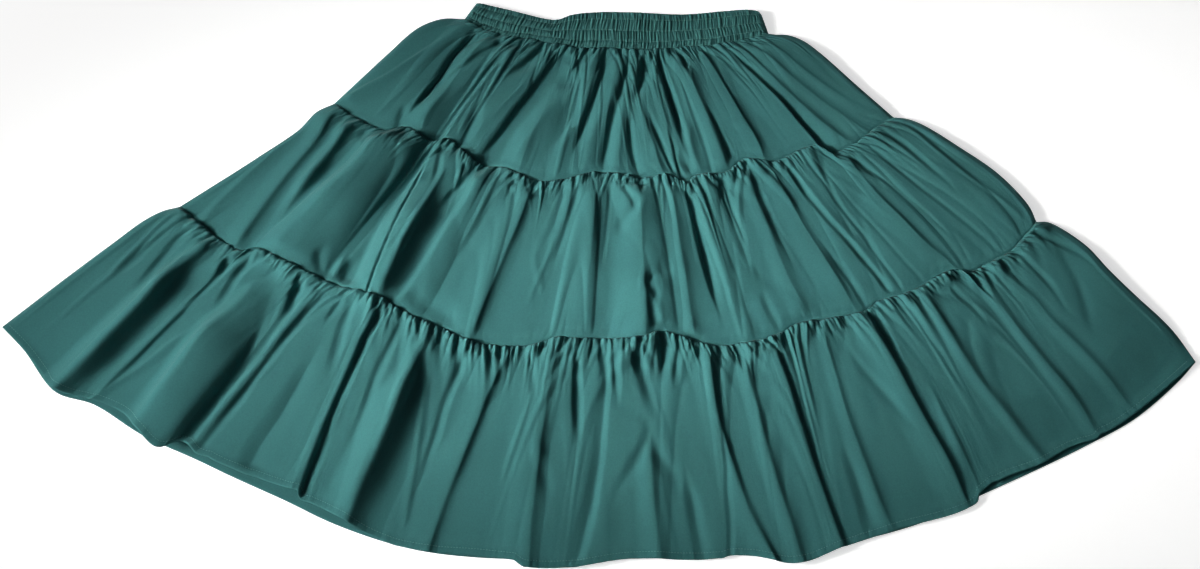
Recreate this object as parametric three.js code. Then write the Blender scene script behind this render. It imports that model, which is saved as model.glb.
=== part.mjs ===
// A three-tier gathered skirt, lying flat on its back. Millimetres, +Z up: the waist is towards +Y, the hem
// towards -Y, and the underside of the back panels is the plane that the skirt rests on.
//
// Every cut piece is one closed wall of cloth. A piece is a sheet with two coordinates: `across` runs from the
// left side seam (0) to the right one (1), and `down` runs from its upper edge (0) to its lower edge (1).

import * as THREE from 'three';

// ---- Driving dimensions ---------------------------------------------------------------------------------

const FRONT_WALL = 1.5;
const BACK_WALL = 1.5;
const STEEPEST = 0.4; // the uprightness of a wall's normal below which its thickness no longer follows
const LAYER_GAP = 0.3; // between the back panels and the front ones that lie on them
const SEAM_GAP = 0.5; // along the cloth, which leaves 0.3 mm or more straight across a slanting seam
const LOWEST_FRONT = BACK_WALL + LAYER_GAP + FRONT_WALL; // the front's outer face where it lies right down
const SETTLE = 1.5; // how softly the cloth meets that lowest height

const SIDE_ROUND = 14; // reach of the rounded turn at each side
const SIDE_GRIP = 6; // how quickly the bend of a side dies out towards the middle, as a power
const SEAM_KEEPS = 0.45; // share of a fold's height that is left where a seam holds it
const SEAM_REACH = 0.14; // share of a tier's length over which a seam flattens its folds
const FOLD_SPREAD = { top: 0.7, foot: 1 }; // folds are narrower where the cloth is gathered
const OPEN_END = 0.1; // a fold that starts or ends this near an edge runs out through it

const CLOTH = { color: 0x3f6e69, roughness: 0.85, metalness: 0, side: THREE.DoubleSide };

const CURVE_STEPS = 600;
const BACK_COLUMNS = 32;
const BACK_ROWS = [0, 0.25, 0.5, 0.75, 1];

/** Turns rows of numbers into objects with the named columns. */
function table(columns, rows) {
  const names = columns.split(' ');
  return rows.map((row) => Object.fromEntries(names.map((name, i) => [name, row[i]])));
}

// ---- The pattern as it lies: seams, hem and sides ---------------------------------------------------------

// Each seam runs from the left side to the right one. The gathers pull it into shallow scallops.
const SEAMS = {
  waistTop: table('x y', [
    [-137, 330], [-115, 325], [-83, 316], [-49, 309], [-30, 315],
    [6, 319], [91, 316], [139, 320], [173, 320], [179, 316],
  ]),
  waistBottom: table('x y', [
    [-151, 309], [-133, 298], [-109, 290], [-69, 282], [-26, 275],
    [30, 272], [90, 275], [131, 278], [157, 284], [187, 290],
  ]),
  upperMiddle: table('x y', [
    [-290, 208], [-270, 195], [-233, 175], [-211, 179], [-184, 163], [-162, 164],
    [-128, 137], [-103, 133], [-87, 126], [-59, 115], [-21, 123], [-4, 127],
    [47, 120], [72, 124], [93, 115], [103, 123], [137, 128], [155, 141],
    [187, 139], [227, 157], [248, 149], [274, 160], [319, 192],
  ]),
  middleLower: table('x y', [
    [-449, 89], [-403, 51], [-375, 35], [-365, 38], [-315, 17], [-287, 3],
    [-236, -12], [-209, -27], [-165, -48], [-132, -62], [-77, -67], [-45, -59],
    [42, -59], [65, -51], [80, -54], [116, -66], [145, -64], [188, -54],
    [206, -43], [276, -30], [291, -19], [323, -9], [372, 16], [384, 12],
    [409, 22], [439, 42], [466, 70],
  ]),
  frontHem: table('x y', [
    [-625, -45], [-600, -69], [-580, -93], [-564, -113], [-522, -124], [-489, -139],
    [-472, -157], [-450, -176], [-427, -168], [-403, -190], [-345, -214], [-291, -233],
    [-236, -262], [-182, -278], [-121, -284], [-69, -291], [-27, -291], [28, -284],
    [90, -286], [151, -285], [198, -292], [245, -275], [302, -256], [372, -235],
    [409, -207], [447, -191], [481, -172], [521, -159], [560, -132], [619, -83],
  ]),
  // The back panel lies a little lower than the front one, so its hem shows here and there.
  backHem: table('x y', [
    [-625, -45], [-600, -70], [-564, -114], [-522, -128], [-470, -160], [-412, -186],
    [-376, -203], [-322, -227], [-264, -254], [-182, -279], [-69, -288], [28, -282],
    [151, -283], [245, -272], [328, -250], [391, -221], [451, -194], [497, -172],
    [551, -143], [600, -103], [619, -83],
  ]),
};

// Points of each tier's two sides between its seams.
const SIDES = {
  upper: {
    left: table('x y', [[-170, 311], [-184, 308], [-203, 298], [-234, 267]]),
    right: table('x y', [[206, 291], [224, 284], [241, 270], [277, 234]]),
  },
  middle: {
    left: table('x y', [[-308, 199], [-326, 178], [-371, 144]]),
    right: table('x y', [[330, 192], [350, 184], [389, 157], [428, 127], [459, 89]]),
  },
  lower: {
    left: table('x y', [[-465, 85], [-486, 73], [-516, 48], [-564, 8]]),
    right: table('x y', [[478, 71], [515, 46], [537, 19], [562, -9], [597, -47]]),
  },
};

// ---- The folds ----------------------------------------------------------------------------------------------

// A fold's line crosses the panel at `top`, `mid` and `foot`, in per cent of the width, between the shares
// `from` and `to` of the length. Its sides reach `left` and `right` of that line, with a level stretch `flat`
// between them, and it stands `rise` above the panel, or sinks below it, all in millimetres at the foot.
const FOLD_COLUMNS = 'from to top mid foot left flat right rise';

const UPPER_FOLDS = table(FOLD_COLUMNS, [
  [0.00, 0.86, 7.8, 11.9, 12.4, 10, 0, 40, 14],
  [0.05, 0.85, 6.6, 10.2, 10.8, 25, 0, 10, -6],
  [0.14, 1.00, 22.0, 19.2, 18.3, 10, 0, 32, 10],
  [0.03, 1.00, 35.3, 30.2, 27.5, 20, 0, 18, -11],
  [0.10, 0.95, 36.6, 34.2, 32.0, 18, 0, 22, 8],
  [0.28, 0.95, 40.8, 37.6, 36.8, 22, 0, 14, -6],
  [0.02, 0.95, 47.2, 44.3, 42.1, 14, 0, 11, -10],
  [0.05, 0.95, 43.0, 41.2, 40.0, 12, 0, 11, 7],
  [0.02, 1.00, 54.4, 48.9, 47.6, 12, 0, 11, -9],
  [0.10, 0.42, 58.2, 56.6, 53.9, 14, 0, 11, -8],
  [0.46, 1.00, 55.6, 55.6, 56.4, 18, 0, 14, 8],
  [0.04, 0.95, 59.2, 59.4, 60.4, 11, 6, 11, 8],
  [0.05, 0.95, 63.1, 62.9, 63.6, 11, 0, 11, -11],
  [0.04, 0.92, 69.0, 69.9, 70.5, 30, 0, 11, 8],
  [0.06, 1.00, 76.2, 76.4, 76.4, 35, 0, 12, 7],
  [0.15, 1.00, 82.8, 84.4, 87.4, 40, 0, 12, 13],
  [0.60, 1.00, 85.2, 86.4, 88.4, 10, 0, 30, -6],
  [0.04, 1.00, 87.2, 88.2, 91.6, 22, 0, 11, 6],
]);

const MIDDLE_FOLDS = table(FOLD_COLUMNS, [
  [0.05, 1.00, 1.4, 4.0, 6.2, 12, 0, 16, 5],
  [0.02, 1.00, 3.0, 6.9, 9.2, 18, 0, 11, -7],
  [0.05, 1.00, 9.7, 8.8, 9.9, 11, 0, 40, 12],
  [0.08, 0.95, 17.0, 17.4, 15.6, 30, 0, 11, -7],
  [0.03, 1.00, 18.1, 18.6, 20.3, 12, 38, 12, 16],
  [0.10, 1.00, 24.4, 24.8, 25.4, 10, 0, 30, -6],
  [0.02, 1.00, 38.3, 36.6, 35.5, 14, 0, 11, -8],
  [0.10, 0.55, 44.3, 43.3, 42.4, 12, 0, 11, -7],
  [0.00, 1.00, 48.0, 48.0, 48.4, 12, 0, 12, -6],
  [0.08, 1.00, 53.9, 53.7, 53.7, 45, 0, 11, 11],
  [0.08, 0.97, 58.4, 58.4, 59.2, 11, 10, 18, 12],
  [0.03, 0.95, 62.1, 61.1, 60.6, 11, 0, 11, -7],
  [0.05, 1.00, 62.6, 63.4, 64.4, 11, 14, 11, 13],
  [0.10, 0.85, 69.0, 69.4, 70.0, 12, 8, 35, 10],
  [0.02, 0.97, 79.4, 80.2, 81.4, 11, 0, 16, 10],
  [0.08, 1.00, 88.4, 86.9, 88.8, 32, 0, 11, 10],
  [0.02, 0.60, 95.8, 95.1, 94.7, 11, 0, 11, -7],
]);

const LOWER_FOLDS = table(FOLD_COLUMNS, [
  [0.04, 1.00, 5.3, 7.0, 6.7, 50, 0, 13, 15],
  [0.08, 1.00, 7.3, 8.0, 7.9, 12, 0, 22, -6],
  [0.12, 0.85, 10.2, 9.9, 10.0, 14, 0, 12, -6],
  [0.08, 1.00, 12.2, 13.1, 14.5, 16, 0, 16, 5],
  [0.02, 0.97, 16.2, 18.0, 18.4, 18, 0, 12, -8],
  [0.03, 1.00, 20.0, 20.3, 19.8, 13, 0, 34, 13],
  [0.02, 0.50, 23.2, 24.8, 25.5, 12, 0, 12, -7],
  [0.06, 0.98, 25.8, 27.0, 28.2, 12, 0, 26, 9],
  [0.02, 1.00, 31.4, 32.4, 32.0, 40, 0, 13, 13],
  [0.08, 1.00, 32.6, 33.3, 34.0, 12, 0, 30, -7],
  [0.02, 1.00, 39.7, 39.1, 38.5, 24, 0, 12, 10],
  [0.10, 1.00, 44.4, 45.1, 46.0, 12, 0, 12, 6],
  [0.03, 0.97, 49.5, 50.0, 48.8, 12, 0, 14, -6],
  [0.02, 1.00, 57.0, 54.8, 55.8, 12, 0, 12, 8],
  [0.02, 0.62, 61.0, 61.1, 62.5, 12, 0, 12, -7],
  [0.42, 1.00, 61.3, 62.6, 64.1, 14, 0, 12, 8],
  [0.02, 1.00, 64.0, 65.1, 66.0, 12, 0, 18, 9],
  [0.05, 1.00, 67.8, 68.7, 69.3, 12, 0, 16, 9],
  [0.08, 1.00, 72.0, 70.5, 70.6, 12, 0, 14, -6],
  [0.02, 1.00, 73.0, 72.8, 73.3, 12, 0, 12, 8],
  [0.02, 1.00, 78.2, 78.8, 79.4, 12, 0, 22, 11],
  [0.02, 1.00, 84.2, 84.4, 86.0, 12, 0, 18, 11],
  [0.02, 0.97, 89.6, 90.1, 90.6, 12, 0, 14, 9],
  [0.02, 1.00, 93.6, 93.2, 94.0, 12, 0, 16, 8],
]);

// ---- Front pieces --------------------------------------------------------------------------------------------

// `puff` is the height of the outer face at the upper edge, half way down and at the lower edge. `gathers` is
// how far the small waves of the upper edge stand up and down, and `gatherReach` how far down they fade out.
// Two columns make one wave, so an edge has half as many gathers as the piece has columns.
const FRONTS = [
  {
    name: 'waistband_front', top: 'waistTop', bottom: 'waistBottom', folds: [], columns: 64,
    rows: [0, 0.125, 0.25, 0.375, 0.5, 0.625, 0.75, 0.875, 1],
    puff: [6.5, 8, 7], gathers: 0.7, gatherReach: Infinity, channels: { count: 4, rise: 1.2 },
  },
  {
    name: 'upper_tier_front', top: 'waistBottom', bottom: 'upperMiddle', sides: SIDES.upper,
    folds: UPPER_FOLDS, columns: 64, rows: [0, 0.06, 0.16, 0.3, 0.46, 0.64, 0.82, 1],
    puff: [7, 12, 9], gathers: 1.6, gatherReach: 0.4,
  },
  {
    name: 'middle_tier_front', top: 'upperMiddle', bottom: 'middleLower', sides: SIDES.middle,
    folds: MIDDLE_FOLDS, columns: 128, rows: [0, 0.05, 0.14, 0.28, 0.45, 0.63, 0.82, 1],
    puff: [9, 11, 9], gathers: 1.6, gatherReach: 0.3,
  },
  {
    name: 'lower_tier_front', top: 'middleLower', bottom: 'frontHem', sides: SIDES.lower,
    folds: LOWER_FOLDS, columns: 128, rows: [0, 0.05, 0.13, 0.27, 0.45, 0.65, 0.83, 1],
    puff: [9, 11, 6.5], gathers: 1.6, gatherReach: 0.3, freeHem: true,
  },
];

const BACKS = [
  { name: 'waistband_back', top: 'waistTop', bottom: 'waistBottom' },
  { name: 'upper_tier_back', top: 'waistBottom', bottom: 'upperMiddle', sides: SIDES.upper },
  { name: 'middle_tier_back', top: 'upperMiddle', bottom: 'middleLower', sides: SIDES.middle },
  { name: 'lower_tier_back', top: 'middleLower', bottom: 'backHem', sides: SIDES.lower, freeHem: true },
];

// ---- Small mathematics ---------------------------------------------------------------------------------------

const { lerp, clamp } = THREE.MathUtils;

/** 0 below 0, 1 above 1, with a soft start and end. */
const ease = (value) => THREE.MathUtils.smoothstep(value, 0, 1);

/** The parabola through three values at 0, 1/2 and 1. */
function through(start, middle, end, share) {
  const straight = lerp(start, end, share);
  return straight + 4 * share * (1 - share) * (middle - (start + end) / 2);
}

/** Evenly spaced knots of the smooth curve through the points, one more than the number of columns. */
function knotsOf(points, columns) {
  const vectors = points.map(({ x, y }) => new THREE.Vector3(x, y, 0));
  const curve = new THREE.CatmullRomCurve3(vectors, false, 'centripetal');
  curve.arcLengthDivisions = CURVE_STEPS;
  return curve.getSpacedPoints(columns);
}

/** The point at a share of the way along evenly spaced knots. */
function along(knots, share) {
  const place = clamp(share, 0, 1) * (knots.length - 1);
  const before = Math.min(Math.floor(place), knots.length - 2);
  return knots[before].clone().lerp(knots[before + 1], place - before);
}

function lengthOf(knots) {
  return knots.slice(1).reduce((sum, knot, i) => sum + knot.distanceTo(knots[i]), 0);
}

// ---- A piece's plan ------------------------------------------------------------------------------------------

/** Lays a piece between its two seams and its two sides. */
class Plan {
  constructor({ top, bottom, sides = { left: [], right: [] }, freeHem = false }, knotCount) {
    this.top = knotsOf(SEAMS[top], knotCount[top] ?? knotCount.other);
    this.bottom = knotsOf(SEAMS[bottom], knotCount[bottom] ?? knotCount.other);
    const ends = [SEAMS[top].at(0), SEAMS[bottom].at(0), SEAMS[top].at(-1), SEAMS[bottom].at(-1)];
    this.left = knotsOf([ends[0], ...sides.left, ends[1]], CURVE_STEPS);
    this.right = knotsOf([ends[2], ...sides.right, ends[3]], CURVE_STEPS);
    this.topGap = top === 'waistTop' ? 0 : SEAM_GAP / 2;
    this.bottomGap = freeHem ? 0 : SEAM_GAP / 2;
    this.topWidth = lengthOf(this.top);
    this.bottomWidth = lengthOf(this.bottom);
  }

  width(down) {
    return lerp(this.topWidth, this.bottomWidth, down);
  }

  /** How far a side bends away from the straight line between its ends. */
  bend(side, down) {
    return along(side, down).sub(side.at(0).clone().lerp(side.at(-1), down));
  }

  /** The blend of the two seams, drawn out to the bent sides near them. */
  blend(across, down) {
    return along(this.top, across)
      .lerp(along(this.bottom, across), down)
      .addScaledVector(this.bend(this.left, down), (1 - across) ** SIDE_GRIP)
      .addScaledVector(this.bend(this.right, down), across ** SIDE_GRIP);
  }

  point(across, down) {
    const point = this.blend(across, down);
    if (down > 0 && down < 1) return point;
    const run = along(this.bottom, across).sub(along(this.top, across)).normalize();
    return point.addScaledVector(run, down === 0 ? this.topGap : -this.bottomGap);
  }
}

// ---- Heights of the cloth -------------------------------------------------------------------------------------

/** How far a fold lifts the cloth at one place. */
function foldHeight(fold, across, down, width) {
  const share = (down - fold.from) / (fold.to - fold.from);
  if (share < 0 || share > 1) return 0;
  const opens = fold.from <= OPEN_END ? 1 : ease(share * 4);
  const closes = fold.to >= 1 - OPEN_END ? 1 : ease((1 - share) * 4);
  const line = through(fold.top, fold.mid, fold.foot, share) / 100;
  const spread = lerp(FOLD_SPREAD.top, FOLD_SPREAD.foot, down);
  const offset = (across - line) * width / spread;
  const slope = offset < 0 ? 1 + offset / fold.left : 1 - (offset - fold.flat) / fold.right;
  return fold.rise * ease(slope) * opens * closes;
}

/** Height of the folds of a front piece, before seams and sides hold them down. */
function foldsAt(piece, plan, across, down) {
  const width = plan.width(down);
  return piece.folds.reduce((sum, fold) => sum + foldHeight(fold, across, down, width), 0);
}

/** Height of the seam that a front piece shares with the one below it. */
function seamHeight(piece, plan, across) {
  return piece.puff[2] + SEAM_KEEPS * foldsAt(piece, plan, across, 1);
}

/** Keeps the cloth above its lowest place, with a soft landing. */
function settle(height) {
  const above = (height - LOWEST_FRONT) / SETTLE;
  return LOWEST_FRONT + SETTLE * Math.log1p(Math.exp(above));
}

/** Turns the cloth down to the back panel at both sides. */
function roundSides(height, across, width) {
  const inset = Math.min(across, 1 - across) * width;
  const turn = 1 - Math.min(1, inset / SIDE_ROUND);
  return LOWEST_FRONT + (height - LOWEST_FRONT) * Math.sqrt(1 - turn * turn);
}

/** Small waves of a gathered edge: one column up, the next one down, uneven in size. */
function gatherHeight(piece, column, down) {
  const side = column % 2 === 0 ? 1 : -1;
  const uneven = 0.75 + 0.25 * Math.sin(column * 2.4);
  return piece.gathers * side * uneven * (1 - ease(down / piece.gatherReach));
}

/** The elastic channels of the waistband, each one a low roll. */
function channelHeight({ channels }, down) {
  return channels ? channels.rise * Math.abs(Math.sin(Math.PI * channels.count * down)) : 0;
}

function frontHeight(piece, plan, above, column, down) {
  const across = column / piece.columns;
  const free = through(...piece.puff, down) + foldsAt(piece, plan, across, down);
  const fromTop = above ? above(across) : piece.puff[0];
  const held = lerp(fromTop, free, ease(down / SEAM_REACH));
  const low = piece.freeHem ? held : lerp(seamHeight(piece, plan, across), held, ease((1 - down) / SEAM_REACH));
  const waves = gatherHeight(piece, column, down) + channelHeight(piece, down);
  return roundSides(settle(low + waves), across, plan.width(down));
}

// ---- Walls -----------------------------------------------------------------------------------------------------

/** A closed wall between an outer and an inner sheet, each of them rows of points from the left to the right. */
function wall(outer, inner) {
  const rows = outer.length;
  const columns = outer[0].length;
  const index = (layer, row, column) => (layer * rows + row) * columns + column;
  const triangles = [];
  const quad = (a, b, c, d) => triangles.push(a, b, c, a, c, d);
  const both = (row, column) => [index(0, row, column), index(1, row, column)];
  const rim = (from, to) => quad(from[0], to[0], to[1], from[1]);

  for (let row = 0; row < rows - 1; row += 1) {
    for (let column = 0; column < columns - 1; column += 1) {
      const [first, ...others] = [[row, column], [row + 1, column], [row + 1, column + 1], [row, column + 1]];
      quad(...[first, ...others].map(([r, c]) => index(0, r, c)));
      quad(...[first, ...others.reverse()].map(([r, c]) => index(1, r, c)));
    }
    rim(both(row + 1, 0), both(row, 0));
    rim(both(row, columns - 1), both(row + 1, columns - 1));
  }
  for (let column = 0; column < columns - 1; column += 1) {
    rim(both(0, column), both(0, column + 1));
    rim(both(rows - 1, column + 1), both(rows - 1, column));
  }

  const geometry = new THREE.BufferGeometry();
  const positions = [outer, inner].flat(2).flatMap((point) => point.toArray());
  geometry.setAttribute('position', new THREE.Float32BufferAttribute(positions, 3));
  geometry.setIndex(triangles);
  geometry.computeVertexNormals();
  return geometry;
}

/** How upright a sheet's normal stands at one of its points: 1 where it is level, less where it is steep. */
function uprightness(sheet, row, column) {
  const at = (r, c) => sheet[clamp(r, 0, sheet.length - 1)][clamp(c, 0, sheet[0].length - 1)];
  const downwards = at(row + 1, column).clone().sub(at(row - 1, column));
  const rightwards = at(row, column + 1).clone().sub(at(row, column - 1));
  return downwards.cross(rightwards).normalize().z;
}

/** A wall whose outer sheet is the given one. Its inner sheet lies straight below, further where it is steep. */
function clothWall(name, sheet, thickness, lowest) {
  const inner = sheet.map((points, row) => points.map((point, column) => {
    const upright = thickness / Math.max(uprightness(sheet, row, column), STEEPEST);
    return point.clone().setZ(Math.max(point.z - upright, lowest));
  }));
  const mesh = new THREE.Mesh(wall(sheet, inner), new THREE.MeshStandardMaterial(CLOTH));
  mesh.name = name;
  return mesh;
}

function sheetOf(plan, columns, rows, height) {
  return rows.map((down) => Array.from({ length: columns + 1 }, (_, column) => {
    return plan.point(column / columns, down).setZ(height(column, down));
  }));
}

// Both pieces at a seam bend at the same knots, so that their edges stay the seam's gap apart.
const FRONT_KNOTS = { waistTop: 64, waistBottom: 64, upperMiddle: 64, middleLower: 128, frontHem: 128 };
const BACK_KNOTS = { other: BACK_COLUMNS };

function makeFronts() {
  let above = null;
  return FRONTS.map((piece) => {
    const plan = new Plan(piece, FRONT_KNOTS);
    const seamAbove = above;
    const height = (column, down) => frontHeight(piece, plan, seamAbove, column, down);
    above = (across) => seamHeight(piece, plan, across);
    const sheet = sheetOf(plan, piece.columns, piece.rows, height);
    return clothWall(piece.name, sheet, FRONT_WALL, BACK_WALL + LAYER_GAP);
  });
}

function makeBacks() {
  return BACKS.map((piece) => {
    const sheet = sheetOf(new Plan(piece, BACK_KNOTS), BACK_COLUMNS, BACK_ROWS, () => BACK_WALL);
    return clothWall(piece.name, sheet, BACK_WALL, 0);
  });
}

// ---- The skirt, centred over its origin ---------------------------------------------------------------------------

const skirt = new THREE.Group();
skirt.add(...makeBacks(), ...makeFronts());

const centre = new THREE.Box3().setFromObject(skirt).getCenter(new THREE.Vector3());
skirt.position.set(-centre.x, -centre.y, 0);

export default skirt;
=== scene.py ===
"""Tiered skirt, laid flat on its back: the looks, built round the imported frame.

Lengths are millimetres until a mesh is made. `across` runs from a piece's left side (0) to its
right one (1), and `down` from its upper edge (0) to its lower one (1). `below` and `rest` are the
distances from its upper edge and to its lower one.
"""

import math
from functools import partial

import bpy
import numpy as np
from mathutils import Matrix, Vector


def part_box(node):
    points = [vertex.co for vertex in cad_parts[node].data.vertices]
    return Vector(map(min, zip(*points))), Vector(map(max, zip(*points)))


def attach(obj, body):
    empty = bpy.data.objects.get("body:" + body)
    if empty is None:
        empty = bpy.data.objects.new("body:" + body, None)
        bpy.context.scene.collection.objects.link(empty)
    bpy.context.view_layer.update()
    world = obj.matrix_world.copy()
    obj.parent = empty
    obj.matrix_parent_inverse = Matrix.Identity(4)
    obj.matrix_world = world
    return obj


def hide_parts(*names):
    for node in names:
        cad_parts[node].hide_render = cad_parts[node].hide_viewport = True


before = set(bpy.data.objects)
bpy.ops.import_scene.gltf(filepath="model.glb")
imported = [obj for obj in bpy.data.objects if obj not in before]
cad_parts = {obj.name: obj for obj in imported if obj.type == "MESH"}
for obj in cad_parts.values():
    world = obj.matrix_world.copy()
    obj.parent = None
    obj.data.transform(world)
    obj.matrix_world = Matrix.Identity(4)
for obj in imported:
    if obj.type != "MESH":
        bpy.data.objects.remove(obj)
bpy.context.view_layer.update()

MM = 0.001
BODY = "root"

# ---- The pattern as it lies ----

# Each seam runs from left to right, in the shallow scallops of its gathers.
SEAMS = {
    "waist_top": [
        (-137, 330), (-115, 325), (-83, 316), (-49, 309), (-30, 315), (6, 319), (91, 316),
        (139, 320), (173, 320), (179, 316),
    ],
    "waist_bottom": [
        (-151, 309), (-133, 298), (-109, 290), (-69, 282), (-26, 275), (30, 272), (90, 275),
        (131, 278), (157, 284), (187, 290),
    ],
    "upper_middle": [
        (-290, 208), (-270, 195), (-233, 175), (-211, 179), (-184, 163), (-162, 164), (-128, 137),
        (-103, 133), (-87, 126), (-59, 115), (-21, 123), (-4, 127), (47, 120), (72, 124),
        (93, 115), (103, 123), (137, 128), (155, 141), (187, 139), (227, 157), (248, 149),
        (274, 160), (319, 192),
    ],
    "middle_lower": [
        (-449, 89), (-403, 51), (-375, 35), (-365, 38), (-315, 17), (-287, 3), (-236, -12),
        (-209, -27), (-165, -48), (-132, -62), (-77, -67), (-45, -59), (42, -59), (65, -51),
        (80, -54), (116, -66), (145, -64), (188, -54), (206, -43), (276, -30), (291, -19),
        (323, -9), (372, 16), (384, 12), (409, 22), (439, 42), (466, 70),
    ],
    "front_hem": [
        (-625, -45), (-600, -69), (-580, -93), (-564, -113), (-522, -124), (-489, -139),
        (-472, -157), (-450, -176), (-427, -168), (-403, -190), (-345, -214), (-291, -233),
        (-236, -262), (-182, -278), (-121, -284), (-69, -291), (-27, -291), (28, -284), (90, -286),
        (151, -285), (198, -292), (245, -275), (302, -256), (372, -235), (409, -207), (447, -191),
        (481, -172), (521, -159), (560, -132), (619, -83),
    ],
    "back_hem": [
        (-625, -45), (-600, -70), (-564, -114), (-522, -128), (-470, -160), (-412, -186),
        (-376, -203), (-322, -227), (-264, -254), (-182, -279), (-69, -288), (28, -282),
        (151, -283), (245, -272), (328, -250), (391, -221), (451, -194), (497, -172), (551, -143),
        (600, -103), (619, -83),
    ],
}

# Points of each tier's two sides between its seams.
SIDES = {
    "upper_tier": (
        [(-170, 311), (-184, 308), (-203, 298), (-234, 267)],
        [(206, 291), (224, 284), (241, 270), (277, 234)],
    ),
    "middle_tier": (
        [(-308, 199), (-326, 178), (-371, 144)],
        [(330, 192), (350, 184), (389, 157), (428, 127), (459, 89)],
    ),
    "lower_tier": (
        [(-465, 85), (-486, 73), (-516, 48), (-564, 8)],
        [(478, 71), (515, 46), (537, 19), (562, -9), (597, -47)],
    ),
}

# Back panels and their seams.
BACKS = [
    ("waistband", "waist_top", "waist_bottom"),
    ("upper_tier", "waist_bottom", "upper_middle"),
    ("middle_tier", "upper_middle", "middle_lower"),
    ("lower_tier", "middle_lower", "back_hem"),
]

# ---- The folds ----

# Each fold has: start and end (per cent down); its line at the top, middle and foot (per cent
# across); reach to the left and right; height, or a trough's depth below 0; and, if its right side
# isn't hollow, how far it bulges (1 at most).
UPPER_FOLDS = [
    (20, 96, 6.2, 4.6, 1.2, 5, 60, 3),
    (0, 88, 8.4, 11.2, 11.8, 14, 3, -12),
    (0, 88, 9.4, 12.4, 12.9, 3, 30, 3),
    (5, 100, 13.2, 14.8, 15.6, 22, 30, 4),
    (76, 100, 9.2, 10.2, 11.2, 9, 9, -4),
    (8, 55, 16.8, 14.9, 13.5, 5, 3, -3),
    (14, 100, 19.8, 18, 17.9, 20, 3, -7),
    (12, 100, 21.6, 20.4, 20.4, 16, 20, 4),
    (58, 100, 22.2, 22.6, 22.8, 9, 9, -5),
    (0, 40, 28, 26, 23.2, 12, 9, -7),
    (3, 100, 34.4, 30.2, 27.6, 17, 20, -12),
    (2, 24, 39, 39.2, 37.6, 5, 4, -6),
    (22, 80, 40.8, 39.4, 38, 26, 6, -6),
    (25, 100, 36, 34.6, 34, 40, 44, 3),
    (22, 100, 41.8, 40.8, 40.6, 14, 24, 1.4),
    (2, 89, 47, 44.4, 42.2, 12, 9, -8),
    (15, 95, 47.2, 46.3, 45.8, 14, 8, 1.5, 1),
    (2, 100, 54.4, 49.6, 47.8, 11, 8, -5),
    (30, 100, 52.4, 51.4, 51, 20, 20, 1.6),
    (8, 43, 58.2, 56.4, 54, 11, 5, -8),
    (42, 100, 55.8, 57, 58.2, 18, 14, 2.4),
    (44, 100, 53, 52.9, 53.9, 9, 8, -4),
    (44, 98, 56.6, 58, 59.6, 5, 7, -3),
    (0, 28, 58.3, 58.9, 59.4, 4, 4, -3),
    (4, 95, 60.8, 60.9, 61.2, 12, 9, 1.2),
    (3, 82, 62.8, 62.9, 63.4, 8, 4, -8),
    (58, 100, 60.6, 60.8, 61.2, 4, 3, -3),
    (3, 100, 64.7, 64.9, 65, 8, 18, 2.2),
    (25, 100, 66.4, 66.6, 66.6, 5, 5, -2),
    (3, 98, 69, 69.5, 69.6, 22, 22, 3),
    (48, 92, 70.2, 70.3, 70.4, 4, 4, -3),
    (6, 100, 75.8, 76.2, 76.2, 32, 16, 2.2),
    (3, 45, 79, 80.2, 81.6, 7, 5, -1.5),
    (14, 100, 82.3, 84.2, 85.6, 40, 14, 3),
    (13, 42, 82.9, 84, 84.6, 3, 3, -4),
    (48, 100, 85.4, 86, 86.8, 6, 18, -3),
    (3, 100, 86.8, 88.2, 91.4, 20, 12, 2),
    (4, 100, 89.8, 91.6, 94.8, 18, 12, 1.6),
    (6, 88, 92.9, 94.5, 97.6, 16, 10, 1.3),
]

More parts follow.
